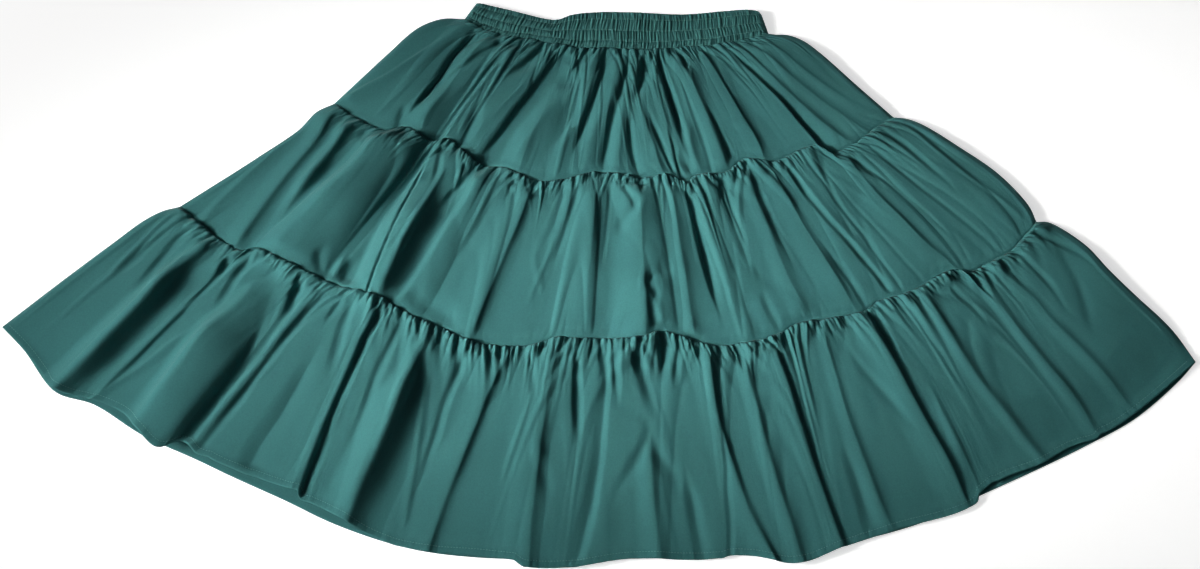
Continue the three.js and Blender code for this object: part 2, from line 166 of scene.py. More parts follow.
MIDDLE_FOLDS = [
    (20, 100, 0.2, 1.6, 3.4, 10, 22, 2),
    (2, 100, 2.2, 5.2, 8, 22, 20, 5),
    (2, 80, 5.8, 7.4, 9.4, 16, 26, 8),
    (2, 20, 9, 9.2, 9.8, 6, 6, -3),
    (0, 100, 12.4, 12.2, 12.6, 34, 58, 15, 1),
    (3, 20, 13.6, 13.8, 14, 6, 8, -2.5),
    (3, 97, 17.8, 18.1, 19.6, 34, 3, -6),
    (11, 100, 23.2, 23.9, 24.8, 46, 46, 12),
    (2, 30, 20.6, 21.8, 23.4, 7, 10, -3.5),
    (3, 40, 27.2, 26.2, 24.8, 7, 6, -5),
    (3, 100, 28.8, 28.2, 27.2, 12, 26, 5, 1),
    (2, 62, 31.6, 31.2, 30.6, 8, 12, 3),
    (3, 20, 33.6, 33.7, 33.8, 5, 5, -3),
    (2, 100, 37.2, 36.2, 35.2, 36, 24, 3.4),
    (3, 45, 42.2, 41.4, 40.4, 12, 14, -3),
    (4, 58, 44.3, 43.5, 42.2, 9, 8, -3.5),
    (0, 100, 47.6, 47.4, 47.2, 46, 44, 3.2),
    (8, 65, 49.5, 49, 48.7, 5, 5, -2),
    (6, 100, 54, 54.1, 53.9, 44, 42, 7, 0.5),
    (8, 97, 59.2, 59.3, 59.4, 20, 34, 3.2),
    (3, 89, 61.6, 61.9, 62.6, 7, 4, -7),
    (3, 100, 63.4, 64.2, 64.6, 8, 12, 2.5, 1),
    (8, 62, 66.8, 66.9, 67.2, 10, 5, -4),
    (5, 48, 67.7, 67.7, 67.9, 4, 4, -4),
    (5, 95, 72, 71.4, 71.8, 20, 24, 2),
    (4, 75, 72.6, 71.9, 72.4, 7, 9, -2.5),
    (2, 100, 76, 76.2, 77, 30, 18, 2.2),
    (50, 100, 76.7, 77.4, 78, 5, 8, -2.5),
    (8, 97, 78.4, 79.4, 81, 4, 3, -3.5),
    (10, 95, 79.2, 80.1, 81.6, 3, 12, 2),
    (4, 100, 81.6, 81.5, 82.2, 4, 5, -2),
    (10, 100, 82.4, 83.2, 84.6, 5, 5, -1.2),
    (2, 100, 88.6, 86.9, 88.6, 30, 14, 2.2),
    (4, 40, 89.2, 88.6, 88, 8, 12, -2),
    (10, 85, 90.4, 90, 91, 6, 6, -1.5),
    (2, 100, 92.3, 92.2, 94, 5, 4, -2),
    (2, 60, 95.5, 95, 94.7, 7, 6, -3),
    (3, 90, 98.6, 97.4, 98.4, 4, 8, 2),
]

LOWER_FOLDS = [
    (2, 52, 1.2, 2, 3, 8, 14, -4),
    (2, 50, 3.4, 4.3, 5.2, 7, 12, -4),
    (11, 100, 5.8, 7, 7.1, 30, 34, 12),
    (3, 50, 6.2, 6.6, 7, 22, 26, 6),
    (0, 22, 8, 9.1, 10.2, 5, 6, -6),
    (15, 95, 10, 10, 9.7, 16, 6, 3.5),
    (36, 100, 12.6, 11.3, 9.7, 8, 20, 2.5),
    (4, 40, 11, 11.5, 12.3, 8, 10, -4),
    (11, 100, 13.6, 14, 14.4, 26, 54, 12, 1),
    (2, 30, 16.2, 17.4, 18.4, 6, 5, -6),
    (12, 98, 18, 18.2, 18, 12, 3, -4),
    (6, 100, 18.6, 18.8, 18.8, 6, 9, 3.5, 1),
    (2, 96, 19.6, 19.5, 19.6, 4, 3, -2.5),
    (2, 24, 21.4, 21.6, 21.8, 7, 8, -3),
    (4, 46, 22.4, 23.6, 25.2, 10, 4, -4),
    (30, 97, 22.6, 22.8, 23, 18, 20, -3.5),
    (2, 100, 25.2, 26.5, 27.9, 46, 5, 2.4),
    (2, 99, 25.3, 26.6, 28, 3, 3, -2),
    (6, 72, 28.1, 28.7, 29.9, 8, 12, -3),
    (11, 100, 31.4, 32.2, 32.3, 40, 52, 10.5),
    (2, 50, 31.2, 31.6, 32, 26, 30, 4),
    (16, 90, 32.8, 34.8, 36.4, 10, 6, 2),
    (3, 80, 35.4, 35.6, 36.4, 8, 9, -3),
    (6, 100, 39.5, 38.7, 38.5, 34, 20, 2.8),
    (4, 30, 41.8, 42.8, 43.8, 8, 8, -2.5),
    (24, 70, 43.4, 43, 42.6, 8, 10, 2),
    (4, 100, 44.6, 45.2, 45.9, 46, 36, 2.6),
    (3, 50, 46.7, 47.4, 48.6, 7, 7, -4),
    (2, 98, 49.4, 49.8, 49, 16, 10, -3.5),
    (2, 30, 50.5, 50.8, 51.4, 6, 12, -4),
    (2, 40, 52.6, 53.6, 55.2, 14, 4, -4.5),
    (0, 22, 55.4, 55.5, 55.7, 6, 5, -7),
    (42, 100, 54.6, 54.9, 55.6, 24, 34, 3.2),
    (38, 76, 54.9, 53.1, 51.1, 10, 12, -3.5),
    (2, 26, 57.4, 57, 56.6, 5, 6, -4),
    (60, 100, 57.4, 57.8, 58.2, 12, 12, -3.5),
    (2, 100, 60.7, 61.2, 64, 26, 12, 2.8),
    (30, 100, 60.8, 60.9, 60.5, 4, 4, -2.5),
    (0, 14, 63.4, 63.6, 63.8, 5, 4, -5),
    (10, 100, 64.2, 64.8, 66, 18, 16, 3),
    (2, 100, 67.3, 68.2, 69, 32, 8, 2.6),
    (4, 50, 69.9, 69.7, 69.5, 6, 8, 2),
    (55, 100, 71, 71.1, 71.2, 12, 12, -2.5),
    (4, 100, 72.7, 72.4, 73, 16, 14, 1.8),
    (15, 62, 74.2, 75.6, 77.6, 12, 10, -2.5),
    (2, 100, 77.5, 78.3, 78.9, 32, 16, 3),
    (0, 32, 77.9, 78.1, 78.3, 5, 6, -5),
    (40, 100, 80, 80.1, 80.3, 8, 8, 2),
    (2, 60, 81.6, 82, 82.6, 6, 8, -2.5),
    (2, 100, 84, 84.2, 85.8, 14, 18, 2.6),
    (2, 35, 86.4, 86.8, 87.4, 6, 8, -2.5),
    (0, 20, 89.3, 89.2, 89.4, 8, 8, -4.5),
    (2, 100, 89.2, 90, 90.3, 18, 14, 1.9),
    (6, 100, 92.2, 93.1, 93.7, 16, 12, 1.5),
    (28, 60, 97.4, 95.9, 94.4, 8, 10, -2.5),
    (3, 45, 95, 94.6, 94.2, 6, 8, -2),
    (2, 36, 97.8, 98.2, 99.2, 6, 10, -3),
]

# Each short crease has: two ends (per cent across and down); half its width; height.
UPPER_CREASES = [
    (13.8, 0, 16.6, 11, 3, -5),
    (20.8, 10, 22.6, 3, 6, -5),
    (25.2, 0, 26.4, 3, 5, -4),
    (3.4, 0, 5.4, 4, 4, -4),
    (35.4, 2, 36.6, 10, 3, -4),
    (36.6, 26, 38.8, 24, 5, -6),
    (38.4, 27, 41.2, 24, 6, -4),
    (50.5, 0, 52, 3, 4, -3),
    (62, 0, 61, 5, 4, -3),
    (62.4, 85, 63.6, 93, 4, -3),
    (70.2, 2, 69.4, 18, 3, -4),
    (74, 72, 75.4, 69, 3, 1.5),
    (76.3, 2, 77.6, 8, 4, -4),
    (84.3, 7, 85.2, 3, 5, -4),
    (90, 9, 90.8, 3, 4, -3),
    (94.2, 5, 95.2, 3, 4, -3),
]
MIDDLE_CREASES = [
    (51.4, 5, 53.2, 17, 4, -3),
    (53.8, 16, 51, 33, 4, -2.5),
    (54.4, 67, 57.2, 61, 3, -4),
    (54.4, 69, 55.5, 80, 3, -2),
    (55.5, 80, 55.9, 100, 3, 1.5),
    (54.6, 80, 55, 100, 4, -1.5),
    (65.6, 63, 67.6, 62, 3, 2),
    (67.9, 80, 68.5, 100, 4, -1.5),
    (28.6, 90, 32.4, 93, 10, -3),
    (16.4, 88, 18, 100, 4, -2.5),
    (18.8, 86, 19.2, 100, 3, 3),
    (19.8, 86, 20.2, 96, 4, -2),
    (40, 48, 41.8, 66, 3, 1),
    (40.6, 70, 42.2, 40, 3, 1),
]
LOWER_CREASES = [
    (44.8, 50, 45.3, 57, 5, 2),
    (54.6, 50, 56.8, 66, 5, -2),
    (45.3, 57, 46.4, 66, 5, -2),
    (10.2, 17, 9.9, 40, 3, -3),
]

# ---- Small mathematics ----

CURVE_STEPS = 1200
SPAN_STEPS = 40  # between two given points of a curve
FADE_POWER = 1.5


def lerp(a, b, share):
    return a + (b - a) * share


def ease(value):
    """0 below 0, 1 above 1, with a soft start and end."""
    v = np.clip(value, 0, 1)
    return v * v * (3 - 2 * v)


def bell(distance, reach):
    return np.exp(-((distance / reach) ** 2))


def fade_out(distance, reach):
    """1 at a seam, and dying out with the distance from it."""
    return np.exp(-((distance / reach) ** FADE_POWER))


def through(start, middle, end, share):
    """The parabola through three values at 0, 1/2 and 1."""
    return lerp(start, end, share) + 4 * share * (1 - share) * (middle - (start + end) / 2)


def unit(vectors):
    return vectors / np.maximum(np.linalg.norm(vectors, axis=-1, keepdims=True), 1e-9)


def root_gap(a, b):
    """The square root of the distance between two points, kept above 0."""
    return max(np.sum((b - a) ** 2) ** 0.25, 1e-9)


def smooth_curve(points):
    """Evenly spaced points along the centripetal Catmull-Rom curve through some points."""
    p = np.asarray(points, float)
    p = np.vstack([2 * p[0] - p[1], p, 2 * p[-1] - p[-2]])
    s = np.linspace(0, 1, SPAN_STEPS, endpoint=False)[:, None]
    spans = []
    for p0, p1, p2, p3 in zip(p, p[1:], p[2:], p[3:]):
        d0, d1, d2 = root_gap(p0, p1), root_gap(p1, p2), root_gap(p2, p3)
        m1 = ((p1 - p0) / d0 - (p2 - p0) / (d0 + d1) + (p2 - p1) / d1) * d1
        m2 = ((p2 - p1) / d1 - (p3 - p1) / (d1 + d2) + (p3 - p2) / d2) * d1
        near = (2 * s**3 - 3 * s**2 + 1) * p1 + (s**3 - 2 * s**2 + s) * m1
        spans.append(near + (3 * s**2 - 2 * s**3) * p2 + (s**3 - s**2) * m2)
    dense = np.vstack([*spans, p[-2][None]])
    length = np.r_[0, np.cumsum(np.hypot(*np.diff(dense, axis=0).T))]
    even = np.linspace(0, length[-1], CURVE_STEPS + 1)
    return np.c_[np.interp(even, length, dense[:, 0]), np.interp(even, length, dense[:, 1])]


def along(curve, share):
    """Points at shares of the way along an evenly spaced curve."""
    knots = np.linspace(0, 1, len(curve))
    return np.stack([np.interp(share, knots, curve[:, axis]) for axis in (0, 1)], -1)


def length_of(curve):
    return float(np.hypot(*np.diff(curve, axis=0).T).sum())


def wander(seed, places, count):
    """Smooth random values from -1 to 1 along places from 0 to 1."""
    values = np.random.default_rng(seed).uniform(-1, 1, count + 3)
    at = np.clip(places, 0, 1) * count
    cell = np.minimum(at.astype(int), count)
    return lerp(values[cell], values[cell + 1], ease(at - cell))


def cloud(seed, u, v, columns, rows):
    """Smooth random values from -1 to 1 over `columns` by `rows` cells."""
    values = np.random.default_rng(seed).uniform(-1, 1, (rows + 3, columns + 3))
    x, y = np.clip(u, 0, 1) * columns, np.clip(v, 0, 1) * rows
    i, j = np.minimum(x.astype(int), columns), np.minimum(y.astype(int), rows)
    fx, fy = ease(x - i), ease(y - j)
    upper = lerp(values[j, i], values[j, i + 1], fx)
    lower = lerp(values[j + 1, i], values[j + 1, i + 1], fx)
    return lerp(upper, lower, fy)


# ---- A piece's plan ----

SIDE_GRIP = 6  # how quickly a side's bend dies out, as a power
SEAM_SEEDS = {"waist_bottom": 11, "upper_middle": 12, "middle_lower": 13}
SEAM_WAVER = 1.1  # how far a seam strays from its line
WAVER_LONG = 26  # length of its longer waves, and of the shorter ones
WAVER_SHORT = 9
WAVER_REACH = 30


class Plan:
    """Lays a piece between its two seams and its two sides."""

    def __init__(self, part, top, bottom):
        first, last, sides = SEAMS[top], SEAMS[bottom], SIDES.get(part, ([], []))
        self.names = (top, bottom)
        self.top, self.bottom = smooth_curve(first), smooth_curve(last)
        self.left = smooth_curve([first[0], *sides[0], last[0]])
        self.right = smooth_curve([first[-1], *sides[1], last[-1]])
        self.top_width, self.bottom_width = length_of(self.top), length_of(self.bottom)
        middle = along(self.bottom, 0.5) - along(self.top, 0.5)
        self.length = float(np.hypot(*middle))

    def width(self, down):
        return lerp(self.top_width, self.bottom_width, down)

    def bend(self, side, down):
        return along(side, down) - lerp(side[0], side[-1], down[..., None])

    def stray(self, across, down):
        """How far the cloth strays with its seams."""
        total = np.zeros_like(across)
        edges = zip(self.names, (self.top_width, self.bottom_width), (down, 1 - down))
        for name, width, away in edges:
            if name in SEAM_SEEDS:
                seed = SEAM_SEEDS[name]
                waver = wander(seed, across, int(width / WAVER_LONG))
                waver += 0.5 * wander(seed + 50, across, int(width / WAVER_SHORT))
                total += SEAM_WAVER * waver * (1 - ease(away * self.length / WAVER_REACH))
        return total

    def points(self, across, down):
        """Places of points, and the direction down the cloth there."""
        left, right = (1 - across) ** SIDE_GRIP, across**SIDE_GRIP
        laid = lerp(along(self.top, across), along(self.bottom, across), down[..., None])
        laid += self.bend(self.left, down) * left[..., None]
        laid += self.bend(self.right, down) * right[..., None]
        run = unit(along(self.bottom, across) - along(self.top, across))
        return laid + run * self.stray(across, down)[..., None], run


# ---- Heights of the cloth ----

LOWEST_FRONT = 3.6  # the front's face where it lies on the back
SETTLE = 1.2  # how softly the cloth meets that height
SIDE_ROUND = 9  # reach of the turn at each side
SIDE_EDGE = 1.9  # height of the side's edge
OPEN_END = 0.1  # a fold that ends this near an edge runs through it
OPENING = 2.2  # how quickly any other fold opens and closes
CLOSING = 2.4
CLOSED_WIDTH = 0.45  # share of its width where it is closed
GATHERED_WIDTH = 0.7  # the same at the top of a tier
FOLD_WOBBLE = 1.3  # how far a fold strays from its line
FOLD_UNEVEN = 0.22  # how uneven its height is, as a share
TROUGH_SHIFT = 0.4  # share of a trough's left slope past its line
CRISP = 0.65  # how sharp the bottom of a trough is
NARROW_SHARE = 0.6  # how high a narrow fold stands, in row heights
BROAD_SHARE = 1.5  # the same for one of BROAD_FOLD or more
BROAD_FOLD = 60
SHARPEST = 4  # the shortest reach of a side
LIT_REACH = 2.5  # the shortest of one that faces left, in heights of its fold
HOLLOW = 3.5  # how hollow the side of a ridge that faces right is
SHOULDER = 0.2  # share of a fold that lies in its broad shoulders
SHOULDER_REACH = 2.8  # how much further they reach than the fold
LEAN = 0.6  # how far a lopsided fold hangs over, in its heights

# Ranges of the pillows at a gathered edge, as multiples of its pitch, height and reach.
PILLOW_WIDTHS = (0.45, 1.55)
PILLOW_HEIGHTS = (0.45, 1.35)
PILLOW_LENGTHS = (0.4, 1.0)
LONG_PILLOW = 2.2  # extra length of the few that run far down
PILLOW_DRIFT = 1.2  # how far they wander sideways, in pitches
PLEAT_SINK = 0.4  # how far the cloth sinks between them, as a share


def fold_section(offset, left, right, bulge, rise):
    """Share of a fold's height at offsets from its line."""
    if rise < 0:
        offset = offset - TROUGH_SHIFT * left
    side = np.where(offset < 0, -offset / left, offset / right)
    slope = np.clip(1 - side, 0, 1)
    shoulder = np.clip(1 - side / SHOULDER_REACH, 0, 1) ** 2
    if rise < 0:
        return lerp(lerp(ease(slope), slope * slope, CRISP), shoulder, SHOULDER)
    lit = lerp(ease(slope), shoulder, SHOULDER)
    shaded = lerp(slope**HOLLOW, 1 - (1 - slope) ** 2, bulge)
    return np.where(offset < 0, lit, shaded)


def fold_field(tier, across, down):
    """Height of a tier's folds, and how far they lean to the right."""
    height, lean = np.zeros_like(across), np.zeros_like(across)
    for number, row in enumerate(tier.row["folds"]):
        start, end, top, mid, foot, left, right, rise, *bulge = row
        seed = tier.seed + 2 * number
        start, end = start / 100, end / 100
        share = np.clip((down - start) / (end - start), 0, 1)
        inside = (down >= start) & (down <= end)
        opens = 1 if start <= OPEN_END else ease(share * OPENING)
        closes = 1 if end >= 1 - OPEN_END else ease((1 - share) * CLOSING)
        fades = opens * closes
        narrow = lerp(CLOSED_WIDTH, 1, fades)
        aside = (across - through(top, mid, foot, share) / 100) * tier.width(down)
        offset = aside / lerp(GATHERED_WIDTH, 1, down)
        offset += FOLD_WOBBLE * wander(seed, share, 5)
        left, right = max(left, SHARPEST, LIT_REACH * rise), max(right, SHARPEST, -LIT_REACH * rise)
        strength = lerp(NARROW_SHARE, BROAD_SHARE, min(1, (left + right) / BROAD_FOLD))
        strength = strength * (1 + FOLD_UNEVEN * wander(seed + 1, share, 4)) * tier.row["strength"]
        shape = fold_section(offset, left * narrow, right * narrow, sum(bulge), rise)
        shape = shape * fades * strength * inside
        height += rise * shape
        lean += LEAN * abs(rise) * (left - right) / (left + right) * shape**2
    return height, lean


def crease_field(tier):
    """Height of short creases, each a soft groove or ridge."""
    width, length = tier.width(tier.down), tier.length
    height = np.zeros_like(tier.across)
    for a0, t0, a1, t1, half, rise in tier.row["creases"]:
        x, y = (tier.across - a0 / 100) * width, (tier.down - t0 / 100) * length
        dx, dy = (a1 - a0) / 100 * width, (t1 - t0) / 100 * length
        near = np.clip((x * dx + y * dy) / (dx * dx + dy * dy), 0, 1)
        height += rise * bell(np.hypot(x - near * dx, y - near * dy), half)
    return height


def gather_field(seed, across, away, width, row, pinch=0.6):
    """Pillows between small pleats that start at a gathered edge and die out from it."""
    pitch, height, reach = row
    rng = np.random.default_rng(seed)
    count = int(width / pitch)
    widths = rng.uniform(*PILLOW_WIDTHS, count)
    edges = np.r_[0, np.cumsum(widths)] / widths.sum()
    tall = rng.uniform(*PILLOW_HEIGHTS, count)
    long = rng.uniform(*PILLOW_LENGTHS, count) + rng.uniform(0, 1, count) ** 4 * LONG_PILLOW
    drift = PILLOW_DRIFT * wander(seed + 1, across, 24) * away / reach * pitch / width
    place = np.clip(across + drift, 0, 0.999999)
    cell = np.clip(np.searchsorted(edges, place, side="right") - 1, 0, count - 1)
    share = (place - edges[cell]) / (edges[cell + 1] - edges[cell])
    pillow = np.sin(math.pi * share) ** pinch * np.sqrt(widths[cell])
    return height * tall[cell] * pillow * fade_out(away, reach * long[cell])


def sunk_gathers(seed, across, away, width, row, tall=1, sink=PLEAT_SINK):
    """Gathers, `tall` times their row's height, with sunk cloth between them."""
    pillows = tall * gather_field(seed, across, away, width, row)
    return pillows - sink * row[1] * fade_out(away, row[2])


def from_top(tier, seed, row, tall=1, sink=PLEAT_SINK):
    return sunk_gathers(tier.seed + seed, tier.across, tier.below, tier.top_width, row, tall, sink)


def settle(height):
    """Height of cloth that can't lie lower than LOWEST_FRONT."""
    above = np.clip((height - LOWEST_FRONT) / SETTLE, -30, 30)
    return LOWEST_FRONT + SETTLE * np.log1p(np.exp(above))


def rounded(height, edge, away, reach):
    """Height that turns down in a quarter circle to an edge `away` from each point."""
    turn = 1 - np.minimum(1, away / reach)
    return edge + (height - edge) * np.sqrt(1 - turn * turn)


# ---- Settling as cloth ----

SETTLING_STEPS = 60
SPEED_KEPT = 0.97  # share of its speed that a point keeps
HOME_PULL = 0.05  # share of the way back to its fold that a point goes in a step
STRETCH_ROUNDS = 3
BENDING = ((2, 0.2), (4, 0.2), (8, 0.06))  # cells apart, and how firmly they are kept apart


def keep_apart(points, free, gap, rest, stiffness, both_ways):
    """Moves points `gap` apart along the first axis to their distance in the cloth."""
    starts = np.arange(len(points) - gap)
    for turn in (0, 1):
        first = starts[(starts // gap) % 2 == turn]
        a, b = points[first], points[first + gap]
        free_a, free_b = free[first], free[first + gap]
        span = b - a
        length = np.sqrt((span * span).sum(-1)) + 1e-9
        excess = length - rest[first]
        if not both_ways:
            excess = np.minimum(excess, 0)
        pull = stiffness * excess / (length * np.maximum(free_a + free_b, 1e-6))
        points[first] = a + (free_a * pull)[..., None] * span
        points[first + gap] = b - (free_b * pull)[..., None] * span


def relax(sheet, free, slack):
    """Settles a sheet as cloth slightly wider than its folds, so that it buckles."""
    points, before = sheet.copy(), sheet.copy()
    directions = []
    for axis, extra in ((1, slack), (0, np.zeros_like(slack))):
        turned, spare = np.swapaxes(sheet, 0, axis), np.swapaxes(extra, 0, axis)
        cells = np.linalg.norm(np.diff(turned, axis=0), axis=-1) * (1 + spare[:-1])
        ruler = np.concatenate([np.zeros((1, cells.shape[1])), np.cumsum(cells, 0)])
        directions.append((axis, ruler, np.swapaxes(free, 0, axis)))
    for _ in range(SETTLING_STEPS):
        moved = (points - before) * SPEED_KEPT
        before = points.copy()
        points = points + (moved + (sheet - points) * HOME_PULL) * free[..., None]
        for axis, ruler, loose in directions:
            view = np.swapaxes(points, 0, axis)
            for gap, stiffness in BENDING:
                keep_apart(view, loose, gap, ruler[gap:] - ruler[:-gap], stiffness, False)
        for _ in range(STRETCH_ROUNDS):
            for axis, ruler, loose in directions:
                view = np.swapaxes(points, 0, axis)
                keep_apart(view, loose, 1, np.diff(ruler, axis=0), 1.0, True)
        points[..., 2] = np.maximum(points[..., 2], LOWEST_FRONT)
    return points


# ---- Meshes ----

CLOTH = 0.6  # thickness of a shown shell
STITCH_WIDTH = 0.55
STITCH_HEIGHT = 0.3
STITCH_SHARE = 0.7  # of its pitch that a stitch fills
STITCH_RINGS = ((0, 0.5), (0.3, 1), (0.7, 1), (1, 0.5))  # share of the length, and size there
STITCH_CORNERS = ((-1, -1), (1, -1), (1, 1), (-1, 1))
EDGE_ROWS = ((5, 14), (3, 9))  # extra rows near the top and foot, and their reach

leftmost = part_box("lower_tier_front")[0][0] / MM
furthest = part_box("waistband_front")[1][1] / MM
ORIGIN = np.array([SEAMS["front_hem"][0][0] - leftmost, SEAMS["waist_top"][0][1] - furthest, 0])


def make_mesh(name, vertices, faces, **uv_layers):
    mesh = bpy.data.meshes.new(name)
    mesh.from_pydata(((vertices - ORIGIN) * MM).tolist(), [], faces.tolist())
    for layer, uv in uv_layers.items():
        corners = uv[faces.ravel()].astype(np.float32).ravel()
        mesh.uv_layers.new(name=layer).data.foreach_set("uv", corners)
    mesh.polygons.foreach_set("use_smooth", np.ones(len(mesh.polygons), bool))
    mesh.validate()
    piece = bpy.data.objects.new(name, mesh)
    bpy.context.scene.collection.objects.link(piece)
    return piece


def normals_of(sheet):
    return unit(np.cross(np.gradient(sheet, axis=0), np.gradient(sheet, axis=1)))


def shell(name, sheet, **uv_layers):
    """A closed shell: the outer sheet, and an inner one below it."""
    rows, columns = sheet.shape[:2]
    count = rows * columns
    inner = sheet - normals_of(sheet) * CLOTH
    index = np.arange(count).reshape(rows, columns)
    a, b, c, d = index[:-1, :-1], index[1:, :-1], index[1:, 1:], index[:-1, 1:]
    outer_faces = np.stack([a, b, c, d], -1).reshape(-1, 4)
    inner_faces = outer_faces[:, ::-1] + count
    rim = np.r_[index[:, 0], index[-1, 1:], index[-2::-1, -1], index[0, -2:0:-1]]
    following = np.roll(rim, -1)
    rim_faces = np.stack([rim, rim + count, following + count, following], -1)
    vertices = np.vstack([sheet.reshape(-1, 3), inner.reshape(-1, 3)])
    layers = {layer: np.vstack([uv.reshape(-1, 2)] * 2) for layer, uv in uv_layers.items()}
    return make_mesh(name, vertices, np.vstack([outer_faces, inner_faces, rim_faces]), **layers)


def stitch(first, last, outward):
    """One stitch's vertices: a small bar with narrowed ends."""
    ahead = last - first
    aside = np.cross(ahead, outward) / np.linalg.norm(ahead)
    vertices = []
    for share, size in STITCH_RINGS:
        wide, high = aside * size * STITCH_WIDTH / 2, outward * size * STITCH_HEIGHT
        vertices += [first + ahead * share + wide * a + high * b for a, b in STITCH_CORNERS]
    return vertices


def stitch_faces(base):
    """Faces of the stitch whose vertices start at `base`."""
    corners = [(ring + k, ring + (k + 1) % 4) for ring in (0, 4, 8) for k in range(4)]
    faces = [(a, b, b + 4, a + 4) for a, b in corners] + [(3, 2, 1, 0), (12, 13, 14, 15)]
    return (base + np.array(faces)).tolist()


def stitches(name, sheet, downs, rows, pitch):
    """Short stitches along rows of a sheet."""
    normal = normals_of(sheet)
    vertices, faces = [], []
    for row in rows:
        i = min(int(np.searchsorted(downs, row)), len(downs) - 1)
        share = (row - downs[i - 1]) / (downs[i] - downs[i - 1])
        line, up = lerp(sheet[i - 1], sheet[i], share), lerp(normal[i - 1], normal[i], share)
        length = np.r_[0, np.cumsum(np.linalg.norm(np.diff(line, axis=0), axis=1))]
        for start in np.arange(2 * pitch, length[-1] - 3 * pitch, pitch):
            first = np.array([np.interp(start, length, v) for v in line.T])
            last = np.array([np.interp(start + STITCH_SHARE * pitch, length, v) for v in line.T])
            outward = np.array([np.interp(start, length, v) for v in up.T])
            faces += stitch_faces(len(vertices))
            vertices += stitch(first, last, outward)
    return make_mesh(name, np.array(vertices), np.array(faces))


def grid(columns, rows, length):
    """Coordinates of a sheet, with closer rows near its upper and lower edges."""
    fine = np.linspace(0, 1, 4001)
    density = 1
    for away, (extra, reach) in zip((fine, 1 - fine), EDGE_ROWS):
        density = density + extra * np.exp(-away * length / reach)
    total = np.r_[0, np.cumsum(density[1:])]
    downs = np.interp(np.linspace(0, total[-1], rows + 1), total, fine)
    return np.meshgrid(np.linspace(0, 1, columns + 1), downs)


def cloth_uv(across, down, width, length):
    return np.stack([across * width, down * length], -1)


# ---- Front tiers ----

# puff: height without folds at the top, middle and foot. strength: of the folds' heights. grid:
# cells across and down. cut: the flat panel in metres. pleats and gathers: pitch, height and
# reach. side_seam: its start and its line, as a fold's.
TIERS = [
    {
        "part": "upper_tier", "seams": ("waist_bottom", "upper_middle"),
        "folds": UPPER_FOLDS, "creases": UPPER_CREASES, "strength": 1.0, "puff": (7, 12, 9),
        "grid": (840, 54), "seed": 100, "cut": (0.68, 0.16), "pleats": (5.5, 2.47, 10),
        "gathers": [(10, 1.5, 16), (19, 1.7, 30), (36, 1.0, 70)],
    },
    {
        "part": "middle_tier", "seams": ("upper_middle", "middle_lower"),
        "folds": MIDDLE_FOLDS, "creases": MIDDLE_CREASES, "strength": 0.82, "puff": (9, 11, 9),
        "grid": (950, 50), "seed": 200, "cut": (1.06, 0.2), "pleats": (5.5, 3.04, 9),
        "gathers": [(10, 1.3, 16), (21, 1.8, 32), (50, 1.2, 80)],
        "side_seam": (16, 20.2, 21.8, 23.5),
    },
    {
        "part": "lower_tier", "seams": ("middle_lower", "front_hem"),
        "folds": LOWER_FOLDS, "creases": LOWER_CREASES, "strength": 0.95, "puff": (9, 11, 6.5),
        "grid": (1000, 48), "seed": 300, "cut": (1.48, 0.235), "pleats": (5.5, 3.42, 11),
        "gathers": [(10, 1.5, 18), (21, 2.0, 36), (55, 1.2, 90)], "hem": True,
    },
]

WAVES = ((7, 1.3, 60, 3), (8, 0.35, 18, 7))  # seed, height, length and rows of the cloth's waves
WAVE_START = 40  # where the long ones reach their full height
GATHER_REACH = 26  # how far down a seam's height gives way to the folds
GATHER_TALL = 1.7  # height of gathers, and how far the cloth sinks between, in row heights
GATHER_SINK = 0.45
SWELL = 1.6  # how far the gathers stand out in all, and how far down
SWELL_AT = 6
SEAM_KEEPS = 0.6  # share of a fold's height that is left at a seam
SEAM_REACH = 14
SEAM_DROP = 1.3  # how far a gathered edge lies below the one that covers it
SEAM_TUCK = 1.6  # how far it reaches under that edge
SEAM_COVER = 0.8  # how far that edge reaches over it
TUCK_REACH = 4
SEAM_GROOVE = 1.8  # depth of the line between the two
SEAM_ROLL = 0.35  # how far the cloth rolls up before a seam
FOOT_PUCKERS = (9.5, 0.5, 12)  # pitch, height and reach
LIP = 0.15
BODY_SLACK = 0.001  # spare width of the cloth, as a share
GATHER_SLACK = 0.03  # the same at a gathered edge
GATHER_SLACK_REACH = 18
LOWEST_SEAM = 2.4
SIDE_SEAM_PUCKERS = (11, 3.2, 10)  # pitch, height and reach
SIDE_SEAM_GROOVE = 3.6
HEM_DEPTH = 7
HEM_STITCH = 3
HEM_STEP = 0.5  # how far the doubled hem stands out
HEM_PUCKERS = (7, 0.5, 1)
HEM_GROOVE = 0.6
HEM_LIES = 5  # how much flatter it lies at the right
HEM_LIES_REACH = 70
HEM_REACHES = [  # place across the hem, and how far down it reaches there
    (0, 1), (0.195, 1), (0.205, 0.972), (0.278, 0.972), (0.283, 1), (0.32, 0.998),
    (0.36, 1.012), (0.448, 1.004), (0.456, 1.03), (0.6, 1.012), (0.606, 1), (0.7, 1.006),
    (0.797, 1.01), (0.8, 0.985), (0.815, 0.985), (0.818, 0.997), (0.86, 1.01), (0.9, 1.01),
    (0.905, 0.99), (0.94, 0.997), (1, 1),
]


class Tier(Plan):
    """A front tier: a plan with a grid of points, and the row that shapes its cloth."""

    def __init__(self, row):
        super().__init__(row["part"], *row["seams"])
        self.row, self.seed, self.hem = row, row["seed"], row.get("hem")
        self.across, self.down = grid(*row["grid"], self.length)
        self.below, self.rest = self.down * self.length, (1 - self.down) * self.length
        self.inset = np.minimum(self.across, 1 - self.across)


def seam_height(tier, across):
    """Height of a tier's foot, which the next tier is gathered to."""
    return tier.row["puff"][2] + SEAM_KEEPS * fold_field(tier, across, np.ones_like(across))[0]


